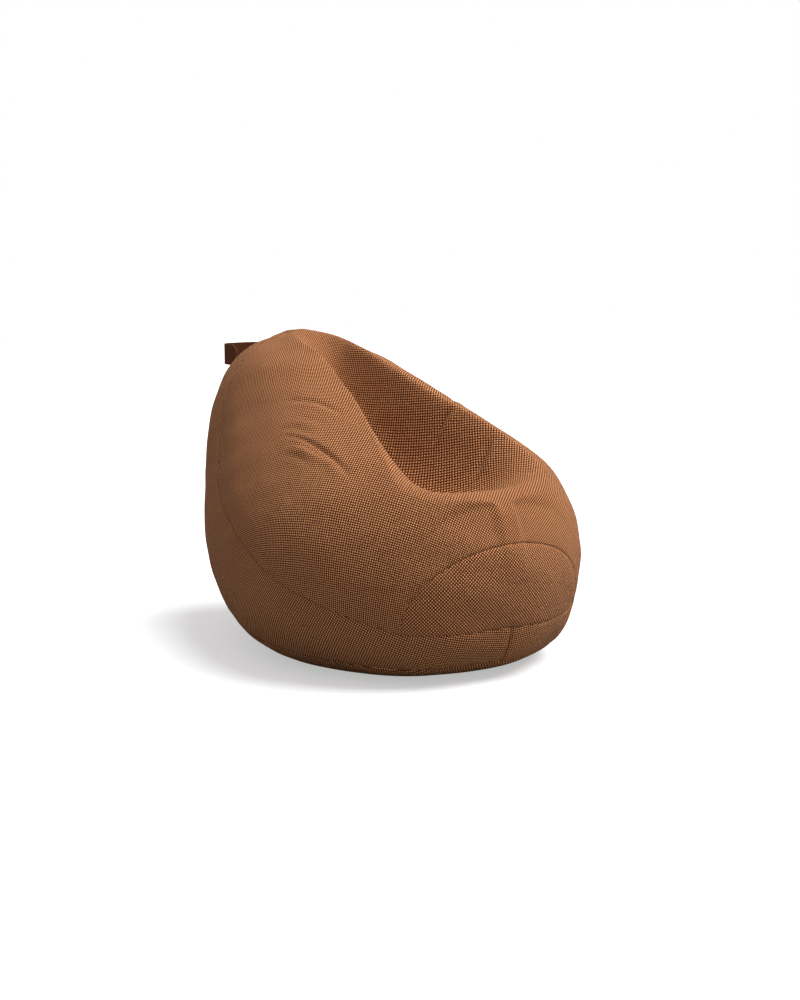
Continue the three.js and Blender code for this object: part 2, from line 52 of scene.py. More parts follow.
COVER_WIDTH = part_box("cover_band_left")[1][0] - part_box("cover_band_right")[0][0]
FORM_WIDTH = 854                # the width the form is drawn at, in millimetres
MM = COVER_WIDTH / FORM_WIDTH   # one millimetre of the bag's form

HEART = np.array([0, 50, 200]) * MM      # every point of the cover can be seen from here
FLOOR_ROUND = 102 * MM          # how roundly the bag turns under to the floor
NECK_BLEND = 272 * MM           # how widely the belly and the head melt together
HOLLOW_SHOULDER = 1.45          # above 1 rounds the hollow's rim
BASE_SEAM_HEIGHT = 40 * MM      # at the front
ZIP_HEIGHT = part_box("cover_base_panel")[1][2]    # the base seam's height at the rear
SEAM_ALLOWANCE = 9 * MM         # the edge turned in along each seam

GRID = 150                      # cells along each side of the six patches of the form's grid
CURVE_STEPS = 12                # points from one guide point of a smooth curve to the next
FAR_OUTSIDE = 9.0               # the answer for points nowhere near the hollow or the arch

# ---------- the bag's form ----------

# Ellipsoids: centre, radii on the low (-X, -Y, -Z) and high sides, and tilt about X.
BELLY = ((0, -30, 238), (427, 437, 432), (427, 556, 356), 0)
HEAD = ((0, 357, 460), (242, 372, 276), (242, 372, 276), -30)


def smooth_curve(guides):
    """Points along a smooth curve through the guide points, as a Catmull-Rom spline."""
    guides = np.asarray(guides, float)
    padded = np.vstack([2 * guides[0] - guides[1], guides, 2 * guides[-1] - guides[-2]])
    points = []
    for before, start, end, after in zip(padded, padded[1:], padded[2:], padded[3:]):
        t = np.linspace(0, 1, CURVE_STEPS, endpoint=False)[:, None]
        slope = end - before
        bend = 2 * before - 5 * start + 4 * end - after
        twist = 3 * start - before - 3 * end + after
        points.append((2 * start + slope * t + bend * t**2 + twist * t**3) / 2)
    return np.vstack([*points, guides[-1:]])


# The hollow under the sitter: its half width and depth at stations along Y, in millimetres.
HOLLOW_WIDTHS = smooth_curve([
    (-410, 20), (-383, 126), (-354, 176), (-304, 210), (-242, 204),
    (-100, 156), (50, 110), (255, 72), (325, 70), (400, 50), (440, 20),
]) * MM
HOLLOW_DEPTHS = smooth_curve([
    (-425, 0), (-370, 28), (-300, 115), (-220, 190), (-110, 228),
    (50, 210), (200, 138), (300, 78), (380, 28), (425, 0),
]) * MM


def hollow_share(points):
    """How far out points are from the middle of the hollow: 1 at its rim."""
    x, y, z = np.moveaxis(points, -1, 0)
    share = np.abs(x) / np.interp(y, *HOLLOW_WIDTHS.T)
    return np.where(z > BELLY[0][2] * MM, share, FAR_OUTSIDE)


def pressed(points):
    """Points of the full bag's surface, pushed down where the sitter has left a hollow."""
    share = np.minimum(hollow_share(points), 1)
    depth = np.interp(points[..., 1], *HOLLOW_DEPTHS.T) * (1 - share**2) ** HOLLOW_SHOULDER
    return points - depth[..., None] * (0, 0, 1)


def ellipsoid_distance(points, form):
    """About the distance from an ellipsoid's surface: negative inside it."""
    centre, low, high, tilt = form
    x, y, z = np.moveaxis(points - np.array(centre) * MM, -1, 0)
    turn = math.radians(tilt)
    y, z = y * math.cos(turn) - z * math.sin(turn), y * math.sin(turn) + z * math.cos(turn)
    local = np.stack([x, y, z], -1)
    radii = np.where(local > 0, np.array(high) * MM, np.array(low) * MM)
    scaled = np.linalg.norm(local / radii, axis=-1)
    slope = np.linalg.norm(local / radii**2, axis=-1)
    return scaled * (scaled - 1) / np.maximum(slope, 1e-9)


def smooth_min(a, b, width):
    """The smaller of two distances, rounded off where they are within `width` of each other."""
    blend = np.maximum(width - np.abs(a - b), 0) / width
    return np.minimum(a, b) - blend * blend * width / 4


def smooth_max(a, b, width):
    return -smooth_min(-a, -b, width)


def bag_distance(points):
    """Negative inside the full bag, and about the distance to its surface near that surface."""
    body = smooth_min(ellipsoid_distance(points, BELLY), ellipsoid_distance(points, HEAD), NECK_BLEND)
    return smooth_max(body, -points[..., 2], FLOOR_ROUND)


CAST_STRIDE = 20 * MM
CAST_HALVINGS = 16        # of the last stride, to close in on the surface


def cast_out(directions, origin=HEART):
    """Where rays from inside the bag meet its surface, before the hollow is pressed in."""
    origin = np.broadcast_to(origin, directions.shape)
    inner = np.zeros(directions.shape[:-1])
    waiting = np.ones(inner.shape, bool)
    while waiting.any():
        ahead = origin[waiting] + directions[waiting] * (inner[waiting] + CAST_STRIDE)[:, None]
        clear = bag_distance(ahead) < 0
        inner[waiting] += CAST_STRIDE * clear
        waiting[waiting] = clear
    low, high = inner, inner + CAST_STRIDE
    for _ in range(CAST_HALVINGS):
        middle = (low + high) / 2
        inside = bag_distance(origin + directions * middle[..., None]) < 0
        low, high = np.where(inside, middle, low), np.where(inside, high, middle)
    return origin + directions * ((low + high) / 2)[..., None]


def surface_points(directions):
    """Points of the plain form, as seen from the heart in those directions."""
    return pressed(cast_out(directions))


def unit(vectors):
    return vectors / np.linalg.norm(vectors, axis=-1, keepdims=True)


def outward_normals(points, triangles):
    """Each point's normal, from the triangles round it."""
    start, side, end = np.moveaxis(points[triangles], 1, 0)
    faces = np.cross(side - start, end - start)
    faces *= np.sign(((start - HEART) * faces).sum(1))[:, None]
    sums = [np.bincount(triangles.ravel(), np.repeat(faces[:, k], 3), len(points)) for k in range(3)]
    return unit(np.stack(sums, -1))


def halved(quads):
    """Four-sided cells as triangles."""
    return np.vstack([quads[:, [0, 1, 2]], quads[:, [0, 2, 3]]])


def heading(azimuth, elevation):
    """Directions from the heart, in degrees: azimuth 0 is the front and 90 the sitter's left."""
    turn, rise = np.radians(azimuth), np.radians(elevation)
    level = np.cos(rise)
    return np.stack([level * np.sin(turn), -level * np.cos(turn), np.sin(rise) + 0 * turn], -1)


def bearings(directions):
    """Azimuth without its sign, 0 to 180 degrees, and elevation."""
    x, y, z = np.moveaxis(directions, -1, 0)
    return np.degrees(np.arctan2(np.abs(x), -y)), np.degrees(np.arcsin(np.clip(z, -1, 1)))


# ---------- the seams, in degrees seen from the heart ----------

FOOT_AZIMUTH = 31.6       # where the front panel's arch meets the band
FOOT_ELEVATION = -8
ARCH_RISE = 22            # from the foot to the top of the arch
ARCH_REACH_BELOW = 1      # how far under its foot the arch still counts
BASE_RISE_START = 60      # from here the base seam changes to the zip's height
BASE_RISE_LENGTH = 80
BAND_TOP = np.array([
    (0, FOOT_ELEVATION), (FOOT_AZIMUTH, FOOT_ELEVATION), (60, 1), (95, 15.5),
    (124, 26), (146, 37.5), (160, 46.5), (168, 51.5), (180, 54),
])
SIDE_CURVE = np.vstack([BAND_TOP[:1], smooth_curve(BAND_TOP[1:])])
SEAM_AZIMUTHS = np.linspace(0, 180, 361)


def base_seam_points(azimuths):
    """Where the base seam runs, low at the front and at the zip's height at the rear."""
    rise = np.clip((azimuths - BASE_RISE_START) / BASE_RISE_LENGTH, 0, 1)
    heights = BASE_SEAM_HEIGHT + (ZIP_HEIGHT - BASE_SEAM_HEIGHT) * rise**2 * (3 - 2 * rise)
    origin = np.stack([0 * heights, 0 * heights + HEART[1], heights], -1)
    return cast_out(heading(azimuths, 0 * azimuths), origin)


WHOLE_DEGREES = np.linspace(0, 180, 181)
BASE_AZIMUTH, BASE_ELEVATION = bearings(unit(base_seam_points(WHOLE_DEGREES) - HEART))


def base_line():
    """The base seam's bearings along one side."""
    return np.stack([SEAM_AZIMUTHS, np.interp(SEAM_AZIMUTHS, BASE_AZIMUTH, BASE_ELEVATION)], -1)


def above_band(directions):
    """Degrees above the band's top seam."""
    azimuth, elevation = bearings(directions)
    return elevation - np.interp(azimuth, *SIDE_CURVE.T)


def above_base(directions):
    """Degrees above the base seam."""
    azimuth, elevation = bearings(directions)
    return elevation - np.interp(azimuth, BASE_AZIMUTH, BASE_ELEVATION)


def outside_arch(directions):
    """Degrees outside the front panel's arch."""
    azimuth, elevation = bearings(directions)
    reach = np.hypot(azimuth / FOOT_AZIMUTH, (elevation - FOOT_ELEVATION) / ARCH_RISE)
    below = elevation < FOOT_ELEVATION - ARCH_REACH_BELOW
    return np.where(below, FAR_OUTSIDE, (reach - 1) * ARCH_RISE)


# ---------- one fine grid over the whole form, cut into the five panels ----------


SAME_POINT = 1e7          # points that agree to one part in this many are one point


def sphere_grid(cells):
    """Directions and four-sided cells of a cube's six faces blown out to a sphere."""
    steps = np.tan(np.linspace(-math.pi / 4, math.pi / 4, cells + 1))
    across, along = np.meshgrid(steps, steps, indexing="ij")
    faces, quads = [], []
    for axis in range(3):
        for side in (-1, 1):
            face = np.empty((cells + 1, cells + 1, 3))
            face[..., axis] = side
            face[..., (axis + 1) % 3] = across * side
            face[..., (axis + 2) % 3] = along
            ids = np.arange((cells + 1) ** 2).reshape(cells + 1, cells + 1)
            ids += len(faces) * ids.size
            corners = [ids[:-1, :-1], ids[1:, :-1], ids[1:, 1:], ids[:-1, 1:]]
            quads.append(np.stack(corners, -1).reshape(-1, 4))
            faces.append(face.reshape(-1, 3))
    points, quads = np.vstack(faces), np.vstack(quads)
    places = np.round(points * SAME_POINT).astype(np.int64)
    _, first, index = np.unique(places, axis=0, return_index=True, return_inverse=True)
    return unit(points[first]), index.ravel()[quads]


def snap_to(directions, quads, level, locked):
    """Moves the directions nearest to a seam onto it, so that no cell's edge crosses it."""
    ends = np.vstack([quads[:, [0, 1]], quads[:, [1, 2]], quads[:, [2, 3]], quads[:, [3, 0]]])
    values = level(directions)
    a, b = ends[values[ends[:, 0]] * values[ends[:, 1]] < 0].T
    share = values[a] / (values[a] - values[b])
    mover = np.where(share < 0.5, a, b)
    other = np.where(share < 0.5, b, a)
    travel = np.minimum(share, 1 - share)
    order = np.argsort(-travel)
    mover, other, travel = mover[order], other[order], travel[order]
    free = ~locked[mover]
    mover, other, travel = mover[free], other[free], travel[free]
    kept = directions[mover] * (1 - travel)[:, None]
    directions[mover] = unit(kept + directions[other] * travel[:, None])
    locked[mover] = True
    return mover


def cut_form():
    """Directions, triangles and each triangle's panel."""
    directions, quads = sphere_grid(GRID)
    locked = np.zeros(len(directions), bool)
    signs = []
    for level in (above_band, above_base, outside_arch):
        on_seam = snap_to(directions, quads, level, locked)
        values = level(directions)
        values[on_seam] = 0
        signs.append(values)
    flip = np.zeros(len(quads), bool)
    for values in signs:
        corner = np.sign(values[quads])
        flip |= corner[:, 0] * corner[:, 2] < 0
    quads = np.where(flip[:, None], np.roll(quads, -1, axis=1), quads)
    triangles = halved(quads)
    band, base, arch = (values[triangles].sum(1) for values in signs)
    left = directions[triangles][..., 0].sum(1) > 0
    above = np.where(arch > 0, "main", "front")
    beside = np.where(left, "band_left", "band_right")
    panel = np.where(band > 0, above, np.where(base > 0, beside, "base"))
    return directions, triangles, panel


# ---------- seams and folds: dips and swells in the cover ----------

LINE_STEP = 2 * MM              # between the points of a line on the cover
FEWEST_POINTS = 8               # on the shortest line
LINE_REACH = 60 * MM            # past this a seam or a fold has no effect


class Line:
    """A curve on the cover, which knows how far points are from it and where along it they are."""

    def __init__(self, bearing_list, mirror=False):
        bearing_list = np.asarray(bearing_list, float)
        points = surface_points(heading(bearing_list[:, 0], bearing_list[:, 1]))
        if mirror:
            points = points * (-1, 1, 1)
        gaps = np.linalg.norm(np.diff(points, axis=0), axis=1)
        walked = np.concatenate([[0], np.cumsum(gaps)])
        self.length = walked[-1]
        count = max(int(self.length / LINE_STEP), FEWEST_POINTS)
        stations = np.linspace(0, self.length, count)
        self.points = np.stack([np.interp(stations, walked, points[:, k]) for k in range(3)], -1)
        self.tree = kdtree.KDTree(count)
        for index, point in enumerate(self.points):
            self.tree.insert(point, index)
        self.tree.balance()

    def nearest(self, points, reach):
        """Each point's distance from the line, and its place along it from 0 to 1."""
        distance = np.full(len(points), 10 * reach)
        share = np.zeros(len(points))
        low, high = self.points.min(0) - reach, self.points.max(0) + reach
        for index in np.flatnonzero(((points > low) & (points < high)).all(1)):
            _, station, gap = self.tree.find(points[index])
            distance[index] = gap
            share[index] = station
        return distance, share / (len(self.points) - 1)


def both_sides(bearing_list):
    return [Line(bearing_list), Line(bearing_list, mirror=True)]


def bell(distance, width):
    return np.exp(-((distance / width) ** 2))


def ripple(length, period, seed):
    """A lumpy wave along a line of that length, from -1 to 1."""
    phases = np.random.default_rng(seed).uniform(0, 2 * math.pi, 3)

    def height(share):
        turns = 2 * math.pi * share * length / period
        slow = 0.7 * np.sin(0.62 * turns + phases[1])
        quick = 0.5 * np.sin(1.7 * turns + phases[2])
        return (np.sin(turns + phases[0]) + slow + quick) / (1 + 0.7 + 0.5)

    return height


ARCH_TURNS = np.linspace(0, math.pi / 2, 40)
ARCH_LINE = np.stack([
    FOOT_AZIMUTH * np.sin(ARCH_TURNS),
    FOOT_ELEVATION + ARCH_RISE * np.cos(ARCH_TURNS),
], -1)
UPRIGHT_POINTS = 120


def upright(azimuth):
    """The bearings of a seam that runs up the band, from the base seam to the band's top."""
    low = np.interp(azimuth, BASE_AZIMUTH, BASE_ELEVATION)
    high = np.interp(azimuth, *SIDE_CURVE.T)
    rises = np.linspace(low, high, UPRIGHT_POINTS)
    return np.stack([0 * rises + azimuth, rises], -1)


def seam_lines():
    """Each seam's lines, then its depth, width, side swell and pucker in millimetres."""
    band_top = np.stack([SEAM_AZIMUTHS, np.interp(SEAM_AZIMUTHS, *SIDE_CURVE.T)], -1)
    return [
        (both_sides(band_top), 1.3, 3.2, 0.4, 0.4),
        (both_sides(ARCH_LINE), 1.4, 2.4, 0.3, 0.2),
        (both_sides(base_line()), 2.0, 4.0, 0.8, 0.6),
        ([Line(upright(0))], 2.6, 3.4, 0.9, 0.6),
        ([Line(upright(180))], 2.6, 3.6, 0.9, 0.6),
    ]


PUCKER_PERIOD = 34 * MM
# Where the cloth beside a seam swells and puckers: the distance from the seam, and how broadly.
SWELL_PLACE, SWELL_BREADTH = 18 * MM, 13 * MM
PUCKER_PLACE, PUCKER_BREADTH = 8 * MM, 14 * MM


def seam_relief(points):
    """The dip along each seam, and the swell and small puckers beside it."""
    relief = np.zeros(len(points))
    seed = 1
    for lines, depth, width, swell, pucker in seam_lines():
        for line in lines:
            distance, share = line.nearest(points, LINE_REACH)
            puckers = ripple(line.length, PUCKER_PERIOD, seed)(share)
            relief -= depth * MM * bell(distance, width * MM)
            relief += swell * MM * bell(distance - SWELL_PLACE, SWELL_BREADTH)
            relief += pucker * MM * puckers * bell(distance - PUCKER_PLACE, PUCKER_BREADTH)
            seed += 1
    return relief


# Folds: guide bearings, depth and width in millimetres, and the lip pushed up beside them.
NEAR_FOLDS = [
    ([(-117, 58.4), (-108.6, 62), (-98, 64.9), (-81, 65.7), (-64, 63.8)], 4.5, 6.5, 2.0),
    ([(-98, 57), (-84, 58.5), (-70, 57.5)], 2.0, 7.5, 1.0),
    ([(-98, 51.4), (-87, 53.3), (-72, 52)], 2.5, 7.0, 1.2),
    ([
        (-93, 49.7), (-82, 50.3), (-70, 48.4), (-58.7, 44.2), (-51.8, 39.7), (-46.7, 35.4),
    ], 6.5, 6.0, 3.2),
    ([(-86, 47.9), (-75, 47.4), (-65, 44.7), (-57.4, 41.4)], 5.0, 5.5, 2.4),
    ([(-84, 43.6), (-74, 43), (-66, 40.6)], 2.0, 7.0, 1.2),
]
FAR_FOLDS = [
    ([(112, 58), (100, 61.5), (84, 64), (68, 66)], 4.0, 8.0, 1.6),
    ([(51.8, 65), (52, 69.5), (49.3, 71.9), (45, 75.2)], 5.0, 8.0, 2.2),
    ([(35.3, 52.9), (29.1, 54.5), (23.3, 56.6)], 4.5, 8.0, 2.0),
    ([(94, 47), (78, 49.5), (62, 46)], 3.5, 8.0, 1.6),
]
FOLD_FADE = 0.8                 # how gently a fold runs out at its ends
FOLD_LEAN = 1.5 * MM            # how far below its line a fold is deepest
LIP_PLACE, LIP_BREADTH = 17 * MM, 11 * MM
LIP_SAG = 0.5                   # how much fuller the lower lip is, and thinner the upper


def fold_relief(points):
    """The dip along each fold and the lips beside it, of which the lower is the fuller."""
    relief = np.zeros(len(points))
    for guides, depth, width, lip in NEAR_FOLDS + FAR_FOLDS:
        line = Line(smooth_curve(guides))
        distance, share = line.nearest(points, LINE_REACH)
        fade = np.sin(math.pi * np.clip(share, 0, 1)) ** FOLD_FADE
        stations = np.linspace(0, 1, len(line.points))
        below = np.sign(np.interp(share, stations, line.points[:, 2]) - points[:, 2])
        relief -= depth * MM * fade * bell(distance - below * FOLD_LEAN, width * MM)
        relief += lip * MM * fade * bell(distance - LIP_PLACE, LIP_BREADTH) * (1 + LIP_SAG * below)
    return relief


LUMP_SEED = 11
LUMPS = ((340, 2.4), (190, 1.5), (95, 0.6))      # wavelength and height, in millimetres
WAVES_PER_LUMP = 5


def lumps(points):
    """The slow unevenness of loose beads under cloth."""
    generator = np.random.default_rng(LUMP_SEED)
    height = np.zeros(len(points))
    for wavelength, size in LUMPS:
        for _ in range(WAVES_PER_LUMP):
            way = generator.normal(size=3)
            way *= 2 * math.pi / (wavelength * MM * np.linalg.norm(way))
            height += size * MM / 2 * np.sin(points @ way + generator.uniform(0, 2 * math.pi))
    return height


SEWN_ON = ("handle_patch_left", "handle_patch_right", "zip_tape_upper", "zip_tape_lower")
FITTING_MARGIN = 35 * MM        # how far from a fitting the cover is quite free again
SEWN_DEPTH = 0.2 * MM           # how far under the plain form the cover lies at a fitting
FLOOR_MARGIN = 30 * MM          # below this height the relief fades, so the bag lies flat


def free_of_fittings(points):
    """0 where a handle patch or the zip is sewn on, rising to 1 where the cover is free to swell."""
    free = np.ones(len(points))
    for node in SEWN_ON:
        low, high = (np.array(corner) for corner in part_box(node))
        gap = np.linalg.norm(np.maximum(np.maximum(low - points, points - high), 0), axis=1)
        free = np.minimum(free, gap / FITTING_MARGIN)
    return free


def cover_points(directions, triangles):
    """Where the cover's outside lies for each direction, with its seams, folds, lumps and swell."""
    points = surface_points(directions)
    normals = outward_normals(points, triangles)
    floor_fade = np.clip(points[:, 2] / FLOOR_MARGIN, 0, 1)
    loose = np.clip(hollow_share(points) - 1, 0, 1)     # the hollow's cloth is pulled tight
    swell = spread_swell(directions) * loose
    relief = seam_relief(points) + fold_relief(points) + lumps(points) + swell
    free = free_of_fittings(points)
    relief = relief * free - SEWN_DEPTH * (1 - free)
    return points + normals * (relief * floor_fade)[:, None]


# ---------- meshes ----------


def make_mesh(name, points, faces, material):
    mesh = bpy.data.meshes.new(name)
    corners = [tuple(point) for point in points]
    mesh.from_pydata(corners, [], [tuple(int(index) for index in face) for face in faces])
    mesh.polygons.foreach_set("use_smooth", np.ones(len(mesh.polygons), bool))
    if material:
        mesh.materials.append(material)
    mesh.update()
    piece = bpy.data.objects.new(name, mesh)
    bpy.context.scene.collection.objects.link(piece)
    return piece


def edge_ring(triangles):
    """The edges that only one triangle has, wound as that triangle winds them."""
    edges = np.vstack([triangles[:, [0, 1]], triangles[:, [1, 2]], triangles[:, [2, 0]]])
    key = np.sort(edges, axis=1)
    _, first, count = np.unique(key, axis=0, return_index=True, return_counts=True)
    return edges[first[count == 1]]


def flatten(points, triangles, up):
    """Where each point of a panel lies on its flat cut, in metres.

    The cut is turned so that its second coordinate runs along `up`.
    """
    scratch = make_mesh("flattening", points, triangles, None)
    bpy.context.view_layer.objects.active = scratch
    scratch.select_set(True)
    scratch.data.uv_layers.new(name="cut")
    bpy.ops.object.mode_set(mode="EDIT")
    bpy.ops.mesh.select_all(action="SELECT")
    bpy.ops.uv.unwrap(method="ANGLE_BASED", margin=0)
    bpy.ops.object.mode_set(mode="OBJECT")
    loops = np.zeros(len(scratch.data.loops) * 2, np.float32)
    scratch.data.uv_layers["cut"].data.foreach_get("uv", loops)
    flat = np.zeros((len(points), 2))
    flat[triangles.ravel()] = loops.reshape(-1, 2)
    bpy.data.meshes.remove(scratch.data)

    start, side, end = np.moveaxis(points[triangles], 1, 0)
    flat_start, flat_side, flat_end = np.moveaxis(flat[triangles], 1, 0)
    edge, other = flat_side - flat_start, flat_end - flat_start
    doubled = edge[:, 0] * other[:, 1] - edge[:, 1] * other[:, 0]
    areas = np.linalg.norm(np.cross(side - start, end - start), axis=1)
    scale = math.sqrt(areas.sum() / abs(doubled.sum()))
    rise, other_rise = (side - start) @ up, (end - start) @ up
    slope_x = (rise * other[:, 1] - other_rise * edge[:, 1]) / doubled
    slope_y = (other_rise * edge[:, 0] - rise * other[:, 0]) / doubled
    turn = math.atan2((slope_x * areas).sum(), (slope_y * areas).sum())
    spin = np.array([[math.cos(turn), -math.sin(turn)], [math.sin(turn), math.cos(turn)]])
    return scale * flat @ spin.T


def panel_piece(name, points, triangles, flat, material):
    """One panel of the cover, with its edge turned in along the seams and its cut as "cut"."""
    ring = edge_ring(triangles)
    rim, index = np.unique(ring, return_inverse=True)
    index = index.reshape(-1, 2) + len(points)
    inward = unit(HEART - points[rim])
    turned_in = points[rim] + inward * SEAM_ALLOWANCE
    flaps = np.vstack([
        np.stack([ring[:, 1], ring[:, 0], index[:, 0]], -1),
        np.stack([ring[:, 1], index[:, 0], index[:, 1]], -1),
    ])
    piece = make_mesh(name, np.vstack([points, turned_in]), np.vstack([triangles, flaps]), material)
    cut = np.zeros((len(points) + len(rim), 3), np.float32)
    cut[:, :2] = np.vstack([flat, flat[rim]])
    piece.data.attributes.new("cut", "FLOAT_VECTOR", "POINT").data.foreach_set("vector", cut.ravel())
    return piece


# ---------- the cloth: a coarse copy of the cover swells between its seams ----------

COARSE_GRID = 46                # cells along each side of the coarse copy's six patches
FRAMES = range(1, 21)           # of the cloth's simulation
START_INSET = 5 * MM            # the cloth starts this far inside the plain form
SEAM_HOLD = 12 * MM             # how far a seam's hold on the cloth reaches
LEAST_HOLD = 0.05
RESTING = 6 * MM                # cloth lower than this lies on the floor and is held there
MOST_SWELL = 7 * MM
SWELL_REACH = 0.12              # radians, as seen from the form's heart


def set_cloth(cloth):
    """A stout woven cloth under the pressure of its filling."""
    settings = cloth.settings
    settings.quality = 6
    settings.mass = 0.35
    settings.tension_stiffness = 18
    settings.compression_stiffness = 6
    settings.shear_stiffness = 4
    settings.bending_stiffness = 0.4
    settings.vertex_group_mass = "seams"
    settings.use_pressure = True
    settings.uniform_pressure_force = 4
    settings.shrink_min = -0.012
    settings.effector_weights.gravity = 0
    cloth.point_cache.frame_start = FRAMES[0]
    cloth.point_cache.frame_end = FRAMES[-1]


def simulate_swell():
    """Directions, and how far the inflated cloth stands off the plain form at each."""
    directions, quads = sphere_grid(COARSE_GRID)
    plain = surface_points(directions)
    normals = outward_normals(plain, halved(quads))
    lines = [line for entry in seam_lines() for line in entry[0]]
    nearest = np.min([line.nearest(plain, LINE_REACH)[0] for line in lines], axis=0)
    bag = make_mesh("swelling", plain - normals * START_INSET, quads, None)
    pins = bag.vertex_groups.new(name="seams")
    held = np.maximum(bell(nearest, SEAM_HOLD), plain[:, 2] < RESTING)
    for index in np.flatnonzero(held > LEAST_HOLD):
        pins.add([int(index)], float(held[index]), "REPLACE")
    set_cloth(bag.modifiers.new("swelling", "CLOTH"))
    for step in FRAMES:
        bpy.context.scene.frame_set(step)
    settled = bag.evaluated_get(bpy.context.evaluated_depsgraph_get()).data
    moved = np.zeros(len(settled.vertices) * 3, np.float32)
    settled.vertices.foreach_get("co", moved)
    swell = ((moved.reshape(-1, 3) - plain) * normals).sum(1)
    bpy.data.objects.remove(bag)
    bpy.context.scene.frame_set(FRAMES[0])
    return directions, np.clip(swell, -MOST_SWELL, MOST_SWELL)


def spread_swell(directions):
    """The coarse cloth's swell at finer directions, averaged over the cloth close to each."""
    coarse, swell = simulate_swell()
    tree = kdtree.KDTree(len(coarse))
    for index, direction in enumerate(coarse):
        tree.insert(direction, index)
    tree.balance()
    result = np.zeros(len(directions))
    for index, direction in enumerate(directions):
        found = tree.find_range(direction, SWELL_REACH)
        weights = [(1 - gap / SWELL_REACH) ** 2 for _, _, gap in found]
        total = sum(weight * swell[near] for weight, (_, near, _) in zip(weights, found))
        result[index] = total / sum(weights)
    return result


# ---------- materials ----------


def new_material(name):
    material = bpy.data.materials.new(name)
    material.use_nodes = True
    return material, material.node_tree, material.node_tree.nodes["Principled BSDF"]


def plug(tree, socket, value):
    """Sets a socket to a number or a colour, or links another node's output to it."""
    if isinstance(value, tuple):
        socket.default_value = (*value, 1)
    elif isinstance(value, (int, float)):
        socket.default_value = value
    else:
        tree.links.new(value, socket)


def calc(tree, operation, *values):
    """The output of a Math node. A value is a number or another node's output."""
    node = tree.nodes.new("ShaderNodeMath")
    node.operation = operation
    for socket, value in zip(node.inputs, values):
        plug(tree, socket, value)
    return node.outputs[0]


def mix_colour(tree, share, first, second):
    """The colour between two: the first where share is 0, the second where it is 1."""
    node = tree.nodes.new("ShaderNodeMix")
    node.data_type = "RGBA"
    plug(tree, node.inputs[0], share)
    plug(tree, node.inputs[6], first)
    plug(tree, node.inputs[7], second)
    return node.outputs[2]


def noise(tree, vector, scale, detail=2.0):
    node = tree.nodes.new("ShaderNodeTexNoise")
    node.inputs["Scale"].default_value = scale
    node.inputs["Detail"].default_value = detail
    tree.links.new(vector, node.inputs["Vector"])
    return node.outputs["Fac"]


def bump(tree, shader, height, distance, strength=1.0):
    node = tree.nodes.new("ShaderNodeBump")
    node.inputs["Strength"].default_value = strength
    node.inputs["Distance"].default_value = distance
    tree.links.new(height, node.inputs["Height"])
    tree.links.new(node.outputs["Normal"], shader.inputs["Normal"])


def attribute(tree, name):
    node = tree.nodes.new("ShaderNodeAttribute")
    node.attribute_name = name
    return node.outputs["Vector"]


def object_place(tree):
    return tree.nodes.new("ShaderNodeTexCoord").outputs["Object"]


def split(tree, vector):
    node = tree.nodes.new("ShaderNodeSeparateXYZ")
    tree.links.new(vector, node.inputs[0])
    return node.outputs


WARP_PITCH = 3.9 * MM       # from yarn to yarn across the cloth
WEFT_PITCH = 4.1 * MM       # and up it
WEBBING_PITCH = 2.2 * MM
TAPE_PITCH = 0.7 * MM
LABEL_PITCH = 0.5 * MM
TOOTH_PITCH = 1.6 * MM
YARN_DRIFT = 2.2 * MM       # how far the yarns wander from straight
DRIFT_SCALE, SLIP_SCALE = 70, 55        # noise cells in a metre, across and up
FIBRE_SCALE = 1400
PATCH_SCALE = 6
WEAVE_RELIEF = 1.3 * MM
WEBBING_RELIEF = 0.6 * MM
TAPE_RELIEF = 0.2 * MM
TOOTH_RELIEF = 0.7 * MM
METAL_RELIEF = 0.1 * MM

TAN_LIGHT, TAN_DARK = (0.98, 0.46, 0.20), (0.66, 0.26, 0.10)
RUST_LIGHT, RUST_DARK = (0.15, 0.033, 0.010), (0.04, 0.008, 0.002)
# painted shade: the near-black colour in the gaps between the cover's yarns
YARN_GAP_SHADE = (0.008, 0.0015, 0.0006)
WORN = (0.10, 0.035, 0.016)
SHEEN = (0.9, 0.62, 0.42)


def bars(tree, turns):
    """Rounded bumps, one for each whole turn: 0 between them and 1 at their tops."""
    return calc(tree, "ABSOLUTE", calc(tree, "SINE", calc(tree, "MULTIPLY", turns, math.pi)))


def wander(tree, vector, scale, detail):
    """A soft drift of the yarns to either side of straight."""
    drift = calc(tree, "SUBTRACT", noise(tree, vector, scale, detail), 0.5)
    return calc(tree, "MULTIPLY", drift, YARN_DRIFT)


def woven(tree, across, up, warp_pitch, weft_pitch):
    """(height 0 to 1, 1 where the weft is on top) of a plain weave of thick yarns."""
    column = calc(tree, "DIVIDE", across, warp_pitch)
    row = calc(tree, "DIVIDE", up, weft_pitch)
    cell = calc(tree, "ADD", calc(tree, "FLOOR", column), calc(tree, "FLOOR", row))
    weft_up = calc(tree, "FLOORED_MODULO", cell, 2.0)
    ribs = calc(tree, "POWER", bars(tree, column), 0.7)
    return calc(tree, "MULTIPLY", ribs, calc(tree, "POWER", bars(tree, row), 0.4)), weft_up


